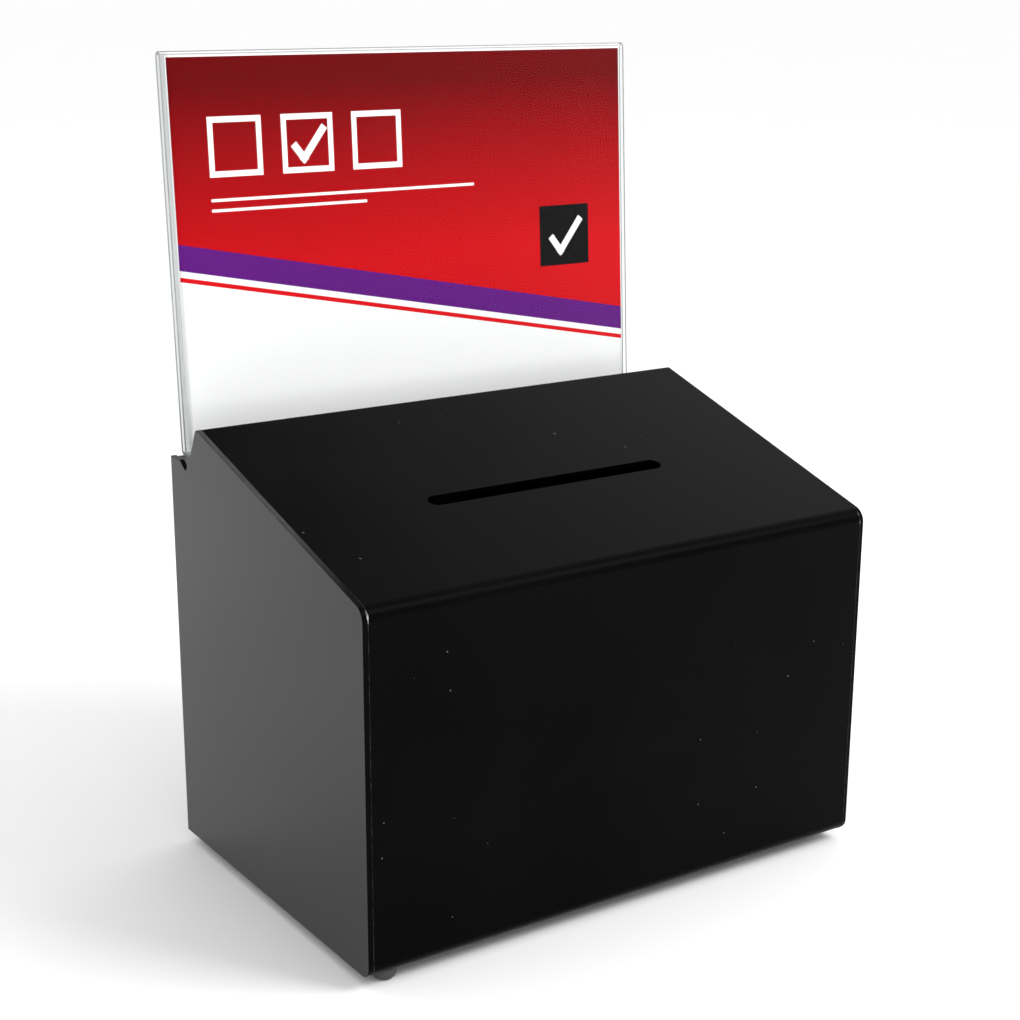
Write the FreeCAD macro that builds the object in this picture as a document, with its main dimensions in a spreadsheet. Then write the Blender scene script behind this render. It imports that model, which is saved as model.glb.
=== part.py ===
import FreeCAD, Part
import math
import os
from types import SimpleNamespace

import Sketcher

# Ballot box with a sloping top, a locked drop-down door at the back and a clear holder for an A4 card.
# Lengths are in millimetres and angles in degrees. The front faces -Y. The origin lies on the table,
# under the middle of the box.

SIZES = {
    # Box: the outline that the bent sheet and the side panels share
    "box_width": 320.0,
    "box_depth": 211.5,
    "ledge_height": 224.0,
    "ledge_depth": 11.6,
    "ledge_step": 4.6,
    "heel_drop": 16.7,
    "slope_angle": 16.374,
    "steep_angle": 25.7,
    "toe_angle": 20.4,
    "bottom_bend_radius": 7.0,
    "front_bend_radius": 8.5,
    "apex_bend_radius": 2.5,
    "heel_bend_radius": 3.0,
    "panel_thickness": 3.0,
    "wrap_thickness": 3.0,
    "toe_length": 5.5,
    "base_end_gap": 0.5,
    # Paper slot in the sloping top, with round ends
    "slot_length": 151.5,
    "slot_width": 9.5,
    "slot_distance": 81.2,
    # Slanted slit at the rear ledge of each side panel, with a round root
    "slit_angle": 35.4,
    "slit_width": 4.6,
    "slit_run": 6.7,
    "slit_reach": 14.0,
    "tooth_reach": 7.1,
    # Rubber feet, stuck on by hand, the right front one further back than the left one
    "foot_radius": 6.25,
    "foot_height": 6.5,
    "foot_flat_radius": 3.2,
    "foot_side_inset": 15.0,
    "foot_end_inset": 11.0,
    "foot_stray": 9.0,
    # Header rail: ledge, lip and fascia bent from one strip
    "rail_thickness": 3.0,
    "rail_bend_radius": 4.0,
    "lip_length": 8.0,
    "fascia_depth": 26.5,
    # Rear door
    "door_thickness": 3.0,
    "door_side_gap": 0.5,
    "door_bottom_gap": 0.5,
    "door_top_gap": 0.8,
    "door_stop_gap": 0.5,
    "door_corner_radius": 2.0,
    # Butt hinges at the foot of the door
    "hinge_inset": 65.0,
    "leaf_width": 32.0,
    "leaf_length": 16.5,
    "leaf_thickness": 1.0,
    "leaf_corner_radius": 2.0,
    "leaf_step": 0.1,
    "barrel_radius": 2.2,
    "knuckle_width": 10.0,
    "knuckle_gap": 0.3,
    "pin_radius": 1.1,
    "pin_fit": 0.05,
    "pin_overhang": 0.6,
    "pin_chamfer": 0.3,
    "leaf_hole_pitch": 20.0,
    "leaf_hole_distance": 11.0,
    # Hinge screws and nuts
    "screw_radius": 1.5,
    "screw_hole_gap": 0.1,
    "screw_head_radius": 2.75,
    "screw_head_height": 1.8,
    "screw_head_rounding": 0.9,
    "screw_tip": 0.6,
    "nut_width": 5.5,
    "nut_thickness": 2.4,
    "nut_fit": 0.05,
    # Cam lock
    "lock_drop": 18.0,
    "flange_radius": 11.5,
    "flange_thickness": 2.5,
    "flange_chamfer": 0.8,
    "housing_radius": 9.5,
    "housing_length": 15.3,
    "housing_flat_width": 16.0,
    "housing_hole_gap": 0.1,
    "plug_radius": 6.0,
    "plug_head_radius": 7.2,
    "plug_head_depth": 1.6,
    "plug_fit": 0.05,
    "tail_width": 6.0,
    "tail_fit": 0.05,
    "lock_washer_radius": 12.5,
    "lock_washer_thickness": 0.8,
    "lock_nut_width": 24.0,
    "lock_nut_thickness": 3.2,
    "lock_nut_fit": 0.05,
    # Cam, cranked back towards the door, and what holds it on the plug
    "cam_thickness": 2.0,
    "cam_width": 11.0,
    "cam_reach": 26.0,
    "cam_back": 6.5,
    "cam_gap": 0.2,
    "crank_start": 10.8,
    "crank_step": 7.3,
    "crank_angle": 52.0,
    "cam_tip_radius": 4.0,
    "cam_washer_radius": 5.2,
    "cam_washer_thickness": 0.8,
    "cam_screw_radius": 1.5,
    "cam_screw_fit": 0.05,
    "cam_screw_head_radius": 3.4,
    "cam_screw_head_height": 2.2,
    "cam_screw_head_rounding": 0.9,
    "cam_screw_grip": 5.0,
    # Key
    "key_thickness": 1.8,
    "key_blade_width": 6.4,
    "key_blade_length": 13.0,
    "keyway_gap": 0.2,
    "key_face_gap": 0.3,
    "key_shoulder_width": 10.0,
    "key_shoulder_length": 4.0,
    "key_bow_width": 22.0,
    "key_bow_length": 20.0,
    "key_bow_radius": 5.0,
    "key_hole_radius": 2.6,
    "key_hole_margin": 5.2,
    "notch_pitch": 3.0,
    "notch_width": 2.2,
    "notch_depth": 1.3,
    "notch_start": 2.6,
    # Header holder, folded from one clear sheet, and pushed a little to the left
    "holder_width": 302.0,
    "holder_thickness": 2.0,
    "holder_lean_angle": 3.1,
    "holder_setback": 2.0,
    "holder_shift": -3.2,
    "sleeve_gap": 2.4,
    "fold_radius": 3.0,
    "sole_bend_radius": 3.0,
    "tongue_bend_radius": 1.0,
    "tongue_length": 6.0,
    "front_leaf_gap": 0.4,
    "seat_gap": 0.2,
    # Card, A4 on its side
    "card_width": 297.0,
    "card_height": 210.0,
    "card_thickness": 0.4,
    "card_headroom": 0.4,
    "card_seat_gap": 0.6,
    "card_offset": 0.7,
    # Shared by every cut, and by the search for an edge
    "cut_overrun": 5.0,
    "edge_tolerance": 0.01,
}

NOTCH_COUNT = 4

doc = FreeCAD.newDocument("ballot_box")
sheet = doc.addObject("Spreadsheet::Sheet", "Sizes")
pieces = []


class Size:
    """A size on the sheet, or a formula of such sizes: the text drives the model, the value places it."""

    def __init__(self, text, value):
        self.text = text
        self.value = value

    def __add__(self, other):
        return Size(f"({self.text} + {other.text})", self.value + other.value)

    def __sub__(self, other):
        return Size(f"({self.text} - {other.text})", self.value - other.value)

    def __neg__(self):
        return Size(f"(-{self.text})", -self.value)

    def __mul__(self, other):
        if isinstance(other, Size):
            return Size(f"({self.text} * {other.text})", self.value * other.value)
        return Size(f"({self.text} * {other})", self.value * other)

    def __truediv__(self, other):
        if isinstance(other, Size):
            return Size(f"({self.text} / {other.text})", self.value / other.value)
        return Size(f"({self.text} / {other})", self.value / other)


ZERO = Size("0", 0.0)
QUARTER_TURN = Size("90", 90.0)
HALF_TURN = Size("180", 180.0)


def sine(angle):
    return Size(f"sin({angle.text})", math.sin(math.radians(angle.value)))


def cosine(angle):
    return Size(f"cos({angle.text})", math.cos(math.radians(angle.value)))


def tangent(angle):
    return Size(f"tan({angle.text})", math.tan(math.radians(angle.value)))


def fill_sheet():
    for row, (name, value) in enumerate(SIZES.items(), 1):
        sheet.set(f"A{row}", name.replace("_", " "))
        sheet.set(f"B{row}", str(value))
        sheet.setAlias(f"B{row}", name)
    doc.recompute()
    return SimpleNamespace(**{name: Size(f"Sizes.{name}", value) for name, value in SIZES.items()})


s = fill_sheet()


# Points of a side view are pairs: distance behind the front face, and height above the underside.

def step(point, heading, length):
    """The point reached from another by going a length along a heading, 0 back and 90 up."""
    return point[0] + cosine(heading) * length, point[1] + sine(heading) * length


def bent_sheet(path, headings, thickness):
    """The section of a bent sheet whose outer face follows a path, with the sheet on the path's right."""
    far_side = [step(path[0], headings[0] - QUARTER_TURN, thickness)]
    for corner, before, after in zip(path[1:-1], headings, headings[1:]):
        middle = (before + after) / 2
        reach = thickness / cosine((after - before) / 2)
        far_side.append(step(corner, middle - QUARTER_TURN, reach))
    far_side.append(step(path[-1], headings[-1] - QUARTER_TURN, thickness))
    return path, far_side


# Bodies, outlines and features, each bound to the sheet

def bind(target, prop, size):
    target.setExpression(prop, size.text)


def place(piece, x, y, z):
    """Set a piece by its place from the middle of the box's underside, as the table sees it."""
    bind(piece, "Placement.Base.x", x)
    bind(piece, "Placement.Base.y", y)
    bind(piece, "Placement.Base.z", z + s.foot_height)


def place_in_box(piece, x=ZERO):
    """Set a piece that is drawn from the front face and the underside of the box."""
    place(piece, x, -s.box_depth / 2, ZERO)


def new_body(label):
    body = doc.addObject("PartDesign::Body", label)
    body.Label = label
    return body


def keep(piece):
    pieces.append(piece)
    return piece


def origin_part(body, role):
    return next(part for part in body.Origin.OriginFeatures if part.Role == role)


def new_sketch(body, plane, lift=ZERO):
    sketch = body.newObject("Sketcher::SketchObject", "Sketch")
    sketch.AttachmentSupport = (origin_part(body, plane), "")
    sketch.MapMode = "FlatFace"
    bind(sketch, "AttachmentOffset.Base.z", lift)
    return sketch


def pin_point(sketch, curve, end, point):
    """Hold a curve's end (1 start, 2 finish, 3 centre) at a point measured from the sketch's origin."""
    for kind, size in zip(("DistanceX", "DistanceY"), point):
        index = sketch.addConstraint(Sketcher.Constraint(kind, -1, 1, curve, end, size.value))
        bind(sketch, f"Constraints[{index}]", size)


def vector(point):
    return FreeCAD.Vector(point[0].value, point[1].value, 0)


def draw_outline(sketch, points):
    """A closed outline of straight lines through the points."""
    first = sketch.GeometryCount
    count = len(points)
    for index in range(count):
        line = Part.LineSegment(vector(points[index]), vector(points[(index + 1) % count]))
        sketch.addGeometry(line, False)
    for index in range(count):
        following = first + (index + 1) % count
        sketch.addConstraint(Sketcher.Constraint("Coincident", first + index, 2, following, 1))
    for index, point in enumerate(points):
        pin_point(sketch, first + index, 1, point)


def draw_rectangle(sketch, low, high):
    draw_outline(sketch, [low, (high[0], low[1]), high, (low[0], high[1])])


def draw_circle(sketch, centre, radius):
    curve = sketch.addGeometry(Part.Circle(vector(centre), FreeCAD.Vector(0, 0, 1), radius.value), False)
    pin_point(sketch, curve, 3, centre)
    index = sketch.addConstraint(Sketcher.Constraint("Radius", curve, radius.value))
    bind(sketch, f"Constraints[{index}]", radius)


def draw_round_slot(sketch, start, finish, heading, width):
    """A slot with round ends, from one end's centre to the other's along a heading."""
    radius = width / 2
    turn = math.radians(heading.value)
    ends = []
    for centre, opening in ((start, turn + math.pi / 2), (finish, turn - math.pi / 2)):
        circle = Part.Circle(vector(centre), FreeCAD.Vector(0, 0, 1), radius.value)
        arc = sketch.addGeometry(Part.ArcOfCircle(circle, opening, opening + math.pi), False)
        pin_point(sketch, arc, 3, centre)
        ends.append(arc)
    index = sketch.addConstraint(Sketcher.Constraint("Radius", ends[0], radius.value))
    bind(sketch, f"Constraints[{index}]", radius)
    sketch.addConstraint(Sketcher.Constraint("Equal", ends[0], ends[1]))
    for arc, other in (ends, ends[::-1]):
        leave = sketch.getPoint(arc, 2)
        arrive = sketch.getPoint(other, 1)
        side = sketch.addGeometry(Part.LineSegment(leave, arrive), False)
        sketch.addConstraint(Sketcher.Constraint("Tangent", arc, 2, side, 1))
        sketch.addConstraint(Sketcher.Constraint("Tangent", side, 2, other, 1))


def draw_hexagon(sketch, width):
    corner = width / 2 / cosine(HALF_TURN / 6)
    draw_outline(sketch, [step((ZERO, ZERO), HALF_TURN / 3 * turn, corner) for turn in range(6)])


def extrude(body, sketch, length, kind="Pad", both_ways=False, reverse=False):
    before = body.Tip.Shape.Volume if kind == "Pocket" else 0
    feature = body.newObject(f"PartDesign::{kind}", kind)
    feature.Profile = sketch
    bind(feature, "Length", length)
    if both_ways:
        feature.SideType = "Symmetric"
    feature.Reversed = reverse
    doc.recompute()
    if kind == "Pocket" and feature.Shape.Volume >= before:
        raise RuntimeError(f"a cut in {body.Label} misses the solid")
    return feature


def cut(body, sketch, length, both_ways=True, reverse=False):
    return extrude(body, sketch, length, "Pocket", both_ways, reverse)


def revolve(body, points, axis):
    """A turned piece: the half section lies in the plane of X and the axis, with X as its radius."""
    sketch = new_sketch(body, {"Y_Axis": "XY_Plane", "Z_Axis": "XZ_Plane"}[axis])
    draw_outline(sketch, points)
    feature = body.newObject("PartDesign::Revolution", "Revolution")
    feature.Profile = sketch
    feature.ReferenceAxis = (origin_part(body, axis), [""])
    feature.Angle = 360
    doc.recompute()
    return feature


def edges_at(body, along, corner):
    """Names of the straight edges along an axis that pass through a corner of the section."""
    names = []
    across = [axis for axis in range(3) if axis != along]
    for number, edge in enumerate(body.Tip.Shape.Edges, 1):
        ends = [vertex.Point for vertex in edge.Vertexes]
        near = all(abs(end[axis] - size.value) < s.edge_tolerance.value
                   for end in ends for axis, size in zip(across, corner))
        if len(ends) == 2 and near:
            names.append(f"Edge{number}")
    return names


def dress(body, kind, prop, names, size):
    base = body.Tip
    feature = body.newObject(f"PartDesign::{kind}", kind)
    feature.Base = (base, names)
    bind(feature, prop, size)
    doc.recompute()
    return feature


def round_edges(body, along, corners, radius):
    """Round the edges along an axis (0 X, 1 Y, 2 Z) at some corners of the section."""
    names = [name for corner in corners for name in edges_at(body, along, corner)]
    return dress(body, "Fillet", "Radius", names, radius)


def round_rims(body, axis, place_along, radius_about, size, kind="Fillet", prop="Radius"):
    """Round or bevel the circular rims of a turned piece at a place along its axis."""
    names = []
    for number, edge in enumerate(body.Tip.Shape.Edges, 1):
        curve = edge.Curve
        if isinstance(curve, Part.Circle):
            level = abs(curve.Center[axis] - place_along.value) < s.edge_tolerance.value
            wide = abs(curve.Radius - radius_about.value) < s.edge_tolerance.value
            if level and wide:
                names.append(f"Edge{number}")
    return dress(body, kind, prop, names, size)


def group(label, master, places):
    """Copies of one fastener at several places, kept as one piece."""
    copies = []
    for place_x, place_y, place_z in places:
        copy = doc.addObject("App::Link", f"{label}_copy")
        copy.LinkedObject = master
        bind(copy, "Placement.Base.x", place_x)
        bind(copy, "Placement.Base.y", place_y)
        bind(copy, "Placement.Base.z", place_z)
        copies.append(copy)
    piece = doc.addObject("Part::Compound", label)
    piece.Label = label
    piece.Links = copies
    place_in_box(piece)
    return keep(piece)


# Corners of the box's side view that several pieces share

ledge_front = (s.box_depth - s.ledge_depth, s.ledge_height)
slit_floor = step(ledge_front, s.slit_angle, -s.slit_run)
slit_root = step(slit_floor, s.slit_angle + QUARTER_TURN, s.slit_width / 2)
heel = (slit_root[0] - s.tooth_reach, s.ledge_height + s.ledge_step)
apex = (heel[0] - s.heel_drop * tangent(s.steep_angle), heel[1] + s.heel_drop)
front_bottom = (ZERO, ZERO)
front_top = (ZERO, apex[1] - apex[0] * tangent(s.slope_angle))
inner_width = s.box_width - s.panel_thickness * 2
door_inside = s.box_depth - s.door_thickness
fascia_bottom = s.ledge_height - s.fascia_depth
lock_height = fascia_bottom - s.lock_drop
hinge_offset = s.box_width / 2 - s.hinge_inset
hinge_out = s.barrel_radius + s.leaf_step
screw_hole_radius = s.screw_radius + s.screw_hole_gap


def make_wrap_sheet():
    """Base, front, sloping top, steep flange and toe, bent from one sheet."""
    body = new_body("wrap_sheet")
    base_end = (s.box_depth - s.base_end_gap, ZERO)
    toe_end = step(heel, -s.toe_angle, s.toe_length)
    headings = [HALF_TURN, QUARTER_TURN, s.slope_angle, s.steep_angle - QUARTER_TURN, -s.toe_angle]
    path = [base_end, front_bottom, front_top, apex, heel, toe_end]
    outside, inside = bent_sheet(path, headings, s.wrap_thickness)
    section = new_sketch(body, "YZ_Plane")
    draw_outline(section, outside + inside[::-1])
    extrude(body, section, inner_width, both_ways=True)
    round_edges(body, 0, [outside[1]], s.bottom_bend_radius)
    round_edges(body, 0, [inside[1]], s.bottom_bend_radius - s.wrap_thickness)
    round_edges(body, 0, [outside[2]], s.front_bend_radius)
    round_edges(body, 0, [inside[2]], s.front_bend_radius - s.wrap_thickness)
    round_edges(body, 0, [outside[3]], s.apex_bend_radius)
    round_edges(body, 0, [outside[4]], s.heel_bend_radius)
    round_edges(body, 0, [inside[4]], s.heel_bend_radius + s.wrap_thickness)
    slot = new_sketch(body, "XY_Plane", front_top[1])
    slot.AttachmentOffset = FreeCAD.Placement(FreeCAD.Vector(), FreeCAD.Rotation(FreeCAD.Vector(1, 0, 0), 1))
    bind(slot, "AttachmentOffset.Rotation.Angle", s.slope_angle)
    half_run = (s.slot_length - s.slot_width) / 2
    draw_round_slot(slot, (-half_run, s.slot_distance), (half_run, s.slot_distance), ZERO, s.slot_width)
    cut(body, slot, (s.wrap_thickness + s.cut_overrun) * 2)
    holes = new_sketch(body, "XY_Plane")
    for x in hinge_hole_places():
        draw_circle(holes, (x, s.box_depth + hinge_out - s.leaf_hole_distance), screw_hole_radius)
    cut(body, holes, (s.wrap_thickness + s.cut_overrun) * 2)
    place_in_box(body)
    return keep(body)


def make_side_panel(label, side):
    """A flat panel cut to the box's outline, with the slit for the holder's tongue at its rear ledge."""
    body = new_body(label)
    tooth_end = (heel[0] + s.ledge_step / tangent(s.toe_angle), s.ledge_height)
    outline = new_sketch(body, "YZ_Plane")
    draw_outline(outline, [front_bottom, front_top, apex, heel, tooth_end, (s.box_depth, s.ledge_height),
                           (s.box_depth, ZERO)])
    extrude(body, outline, s.panel_thickness, both_ways=True)
    round_edges(body, 0, [front_bottom], s.bottom_bend_radius)
    round_edges(body, 0, [front_top], s.front_bend_radius)
    round_edges(body, 0, [apex], s.apex_bend_radius)
    round_edges(body, 0, [heel], s.heel_bend_radius)
    slit = new_sketch(body, "YZ_Plane")
    draw_round_slot(slit, slit_root, step(slit_root, s.slit_angle, s.slit_reach), s.slit_angle, s.slit_width)
    cut(body, slit, (s.panel_thickness + s.cut_overrun) * 2)
    place_in_box(body, (s.box_width - s.panel_thickness) / 2 * side)
    return keep(body)


def make_header_rail():
    """Ledge between the side panels, with a lip under the holder's tongue and a fascia inside the door."""
    body = new_body("header_rail")
    outer_face = door_inside - s.door_stop_gap
    lip_end = step(ledge_front, s.slit_angle, -s.lip_length)
    path = [lip_end, ledge_front, (outer_face, s.ledge_height), (outer_face, fascia_bottom)]
    outside, inside = bent_sheet(path, [s.slit_angle, ZERO, -QUARTER_TURN], s.rail_thickness)
    section = new_sketch(body, "YZ_Plane")
    draw_outline(section, outside + inside[::-1])
    extrude(body, section, inner_width, both_ways=True)
    round_edges(body, 0, outside[1:3], s.rail_bend_radius)
    round_edges(body, 0, inside[1:3], s.rail_bend_radius - s.rail_thickness)
    place_in_box(body)
    return keep(body)


def make_foot(label, side, y):
    """A domed rubber bumper with a small flat to stand on."""
    body = new_body(label)
    revolve(body, [(ZERO, ZERO), (s.foot_radius, ZERO), (s.foot_radius, -s.foot_height),
                   (ZERO, -s.foot_height)], "Z_Axis")
    round_rims(body, 2, -s.foot_height, s.foot_radius, s.foot_radius - s.foot_flat_radius)
    place(body, (s.box_width / 2 - s.foot_side_inset) * side, y, ZERO)
    return keep(body)


def make_rear_door():
    """A flat door between the side panels, with holes for the hinge screws and the lock's flatted housing."""
    body = new_body("rear_door")
    half = inner_width / 2 - s.door_side_gap
    bottom = s.wrap_thickness + s.door_bottom_gap
    top = s.ledge_height - s.door_top_gap
    face = new_sketch(body, "XZ_Plane", -s.box_depth)
    draw_rectangle(face, (-half, bottom), (half, top))
    extrude(body, face, s.door_thickness)
    round_edges(body, 1, [(-half, bottom), (half, bottom)], s.door_corner_radius)
    holes = new_sketch(body, "XZ_Plane", -s.box_depth)
    hole_reach = s.housing_radius + s.housing_hole_gap
    draw_circle(holes, (ZERO, lock_height), hole_reach)
    for x in hinge_hole_places():
        draw_circle(holes, (x, s.leaf_hole_distance - hinge_out), screw_hole_radius)
    cut(body, holes, (s.door_thickness + s.cut_overrun) * 2)
    flat_reach = s.housing_flat_width / 2 + s.housing_hole_gap
    flats = new_sketch(body, "XZ_Plane", -s.box_depth)
    draw_rectangle(flats, (-hole_reach, lock_height - hole_reach), (-flat_reach, lock_height + hole_reach))
    draw_rectangle(flats, (flat_reach, lock_height - hole_reach), (hole_reach, lock_height + hole_reach))
    extrude(body, flats, s.door_thickness)
    place_in_box(body)
    return keep(body)


def hinge_hole_places():
    """The places across the box of the hinge screws: two in each leaf."""
    return [hinge_offset * side + s.leaf_hole_pitch / 2 * end for side in (-1, 1) for end in (-1, 1)]


def draw_hinge_leaf(body, plate_low, plate_high, notches, hole_plane, holes):
    """A leaf with its rolled barrel, notched to leave its own knuckles, about the hinge's axis."""
    plate = new_sketch(body, "YZ_Plane")
    draw_rectangle(plate, plate_low, plate_high)
    extrude(body, plate, s.leaf_width, both_ways=True)
    barrel = new_sketch(body, "YZ_Plane")
    draw_circle(barrel, (ZERO, ZERO), s.barrel_radius)
    extrude(body, barrel, s.leaf_width, both_ways=True)
    bore = new_sketch(body, "YZ_Plane")
    draw_circle(bore, (ZERO, ZERO), s.pin_radius + s.pin_fit)
    cut(body, bore, s.leaf_width + s.cut_overrun)
    notch = new_sketch(body, hole_plane)
    for low, high in notches:
        draw_rectangle(notch, low, high)
    cut(body, notch, (s.barrel_radius + s.cut_overrun) * 2)
    hole = new_sketch(body, hole_plane)
    for centre in holes:
        draw_circle(hole, centre, screw_hole_radius)
    cut(body, hole, (s.barrel_radius + s.cut_overrun) * 2)


def make_hinge(name, side):
    """A butt hinge: one leaf under the base, one on the door's outer face, and the pin through both."""
    reach = s.barrel_radius + s.knuckle_gap
    half_leaf = s.leaf_width / 2
    door_knuckle = half_leaf - s.knuckle_width - s.knuckle_gap
    place_of_axis = (hinge_offset * side, s.box_depth / 2 + hinge_out, -hinge_out)
    half_pitch = s.leaf_hole_pitch / 2

    base_leaf = new_body(f"hinge_base_leaf_{name}")
    gap = ((-(half_leaf - s.knuckle_width), -reach), (half_leaf - s.knuckle_width, reach))
    holes = [(half_pitch * end, -s.leaf_hole_distance) for end in (-1, 1)]
    draw_hinge_leaf(base_leaf, (-s.leaf_length, hinge_out - s.leaf_thickness), (ZERO, hinge_out), [gap],
                    "XY_Plane", holes)
    round_edges(base_leaf, 2, [(half_leaf * end, -s.leaf_length) for end in (-1, 1)], s.leaf_corner_radius)

    door_leaf = new_body(f"hinge_door_leaf_{name}")
    ends = [((half_leaf + s.cut_overrun) * end, -reach) for end in (-1, 1)]
    gaps = [(low, (door_knuckle * end, reach)) for low, end in zip(ends, (-1, 1))]
    holes = [(half_pitch * end, s.leaf_hole_distance) for end in (-1, 1)]
    draw_hinge_leaf(door_leaf, (-hinge_out, ZERO), (s.leaf_thickness - hinge_out, s.leaf_length), gaps,
                    "XZ_Plane", holes)
    round_edges(door_leaf, 1, [(half_leaf * end, s.leaf_length) for end in (-1, 1)], s.leaf_corner_radius)

    pin = new_body(f"hinge_pin_{name}")
    rod = new_sketch(pin, "YZ_Plane")
    draw_circle(rod, (ZERO, ZERO), s.pin_radius)
    pin_half = half_leaf + s.pin_overhang
    extrude(pin, rod, pin_half * 2, both_ways=True)
    for end in (-1, 1):
        round_rims(pin, 0, pin_half * end, s.pin_radius, s.pin_chamfer, "Chamfer", "Size")

    for piece in (base_leaf, door_leaf, pin):
        place(piece, *place_of_axis)
        keep(piece)


def make_screw(label, axis, length, radius, head_radius, head_height, rounding):
    """A screw with a rounded head at minus along its axis and its shank at plus."""
    body = new_body(label)
    revolve(body, [(ZERO, -head_height), (head_radius, -head_height), (head_radius, ZERO), (radius, ZERO),
                   (radius, length), (ZERO, length)], axis)
    round_rims(body, {"Y_Axis": 1, "Z_Axis": 2}[axis], -head_height, head_radius, rounding)
    return body


def make_hex_nut(label, plane, width, bore, thickness):
    """A hexagon nut that starts at the plane and stands up from it."""
    body = new_body(label)
    hexagon = new_sketch(body, plane)
    draw_hexagon(hexagon, width)
    draw_circle(hexagon, (ZERO, ZERO), bore)
    extrude(body, hexagon, thickness)
    return body


def make_hinge_fasteners():
    """Screws through the leaves, with nuts inside the box: up through the base, and in through the door."""
    base_y = s.box_depth + hinge_out - s.leaf_hole_distance
    door_z = s.leaf_hole_distance - hinge_out
    head = (s.screw_radius, s.screw_head_radius, s.screw_head_height, s.screw_head_rounding)
    grip = s.leaf_thickness + s.nut_thickness + s.screw_tip
    bore = s.screw_radius + s.nut_fit
    upright = make_screw("upright_screw", "Z_Axis", grip + s.wrap_thickness, *head)
    level = make_screw("level_screw", "Y_Axis", grip + s.door_thickness, *head)
    upright_nut = make_hex_nut("upright_nut", "XY_Plane", s.nut_width, bore, s.nut_thickness)
    level_nut = make_hex_nut("level_nut", "XZ_Plane", s.nut_width, bore, s.nut_thickness)
    across = hinge_hole_places()
    group("hinge_base_screws", upright, [(x, base_y, -s.leaf_thickness) for x in across])
    group("hinge_base_nuts", upright_nut, [(x, base_y, s.wrap_thickness) for x in across])
    turned = group("hinge_door_screws", level, [(x, s.box_depth + s.leaf_thickness, door_z) for x in across])
    about_face = FreeCAD.Rotation(FreeCAD.Vector(0, 0, 1), HALF_TURN.value)
    for copy in turned.Links:
        copy.Placement = FreeCAD.Placement(copy.Placement.Base, about_face)
    group("hinge_door_nuts", level_nut, [(x, door_inside, door_z) for x in across])


# The lock's pieces are drawn about its axis, from the door's outer face: plus is out, minus is in.

def place_in_lock(piece):
    place(piece, ZERO, s.box_depth / 2, lock_height)


def make_lock_housing():
    """A housing with a flange on the door's outer face, two flats against turning, and a stepped bore."""
    body = new_body("lock_housing")
    bore = s.plug_radius + s.plug_fit
    head_bore = s.plug_head_radius + s.plug_fit
    shelf = s.flange_thickness - s.plug_head_depth
    revolve(body, [(bore, -s.housing_length), (s.housing_radius, -s.housing_length), (s.housing_radius, ZERO),
                   (s.flange_radius, ZERO), (s.flange_radius, s.flange_thickness),
                   (head_bore, s.flange_thickness), (head_bore, shelf), (bore, shelf)], "Y_Axis")
    round_rims(body, 1, s.flange_thickness, s.flange_radius, s.flange_chamfer)
    flat = s.housing_flat_width / 2
    clear = s.housing_radius + s.cut_overrun
    sides = new_sketch(body, "XZ_Plane")
    draw_rectangle(sides, (-clear, -clear), (-flat, clear))
    draw_rectangle(sides, (flat, -clear), (clear, clear))
    cut(body, sides, s.housing_length + s.cut_overrun, both_ways=False, reverse=True)
    place_in_lock(body)
    return keep(body)


def make_lock_washer():
    body = new_body("lock_washer")
    ring = new_sketch(body, "XZ_Plane", s.door_thickness)
    draw_circle(ring, (ZERO, ZERO), s.lock_washer_radius)
    draw_circle(ring, (ZERO, ZERO), s.housing_radius + s.housing_hole_gap)
    extrude(body, ring, s.lock_washer_thickness)
    place_in_lock(body)
    return keep(body)


def make_lock_nut():
    body = new_body("lock_nut")
    hexagon = new_sketch(body, "XZ_Plane", s.door_thickness + s.lock_washer_thickness)
    draw_hexagon(hexagon, s.lock_nut_width)
    draw_circle(hexagon, (ZERO, ZERO), s.housing_radius + s.lock_nut_fit)
    extrude(body, hexagon, s.lock_nut_thickness)
    place_in_lock(body)
    return keep(body)


cam_face = s.housing_length + s.cam_gap
cam_back_face = cam_face + s.cam_thickness


def make_lock_plug():
    """The plug that the key turns: a head in the flange, a barrel, and a square tail for the cam."""
    body = new_body("lock_plug")
    shelf = s.flange_thickness - s.plug_head_depth + s.plug_fit
    revolve(body, [(ZERO, -s.housing_length), (s.plug_radius, -s.housing_length), (s.plug_radius, shelf),
                   (s.plug_head_radius, shelf), (s.plug_head_radius, s.flange_thickness),
                   (ZERO, s.flange_thickness)], "Y_Axis")
    tail = new_sketch(body, "XZ_Plane", s.housing_length)
    half_tail = s.tail_width / 2
    draw_rectangle(tail, (-half_tail, -half_tail), (half_tail, half_tail))
    extrude(body, tail, cam_back_face - s.housing_length)
    keyway = new_sketch(body, "XZ_Plane", -s.flange_thickness)
    half_wide = s.key_blade_width / 2 + s.keyway_gap
    half_thick = s.key_thickness / 2 + s.keyway_gap
    draw_rectangle(keyway, (-half_wide, -half_thick), (half_wide, half_thick))
    cut(body, keyway, s.key_blade_length + s.keyway_gap, both_ways=False, reverse=True)
    thread = new_sketch(body, "XZ_Plane", cam_back_face)
    draw_circle(thread, (ZERO, ZERO), s.cam_screw_radius + s.cam_screw_fit)
    cut(body, thread, s.cam_screw_grip, both_ways=False)
    place_in_lock(body)
    return keep(body)


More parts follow.
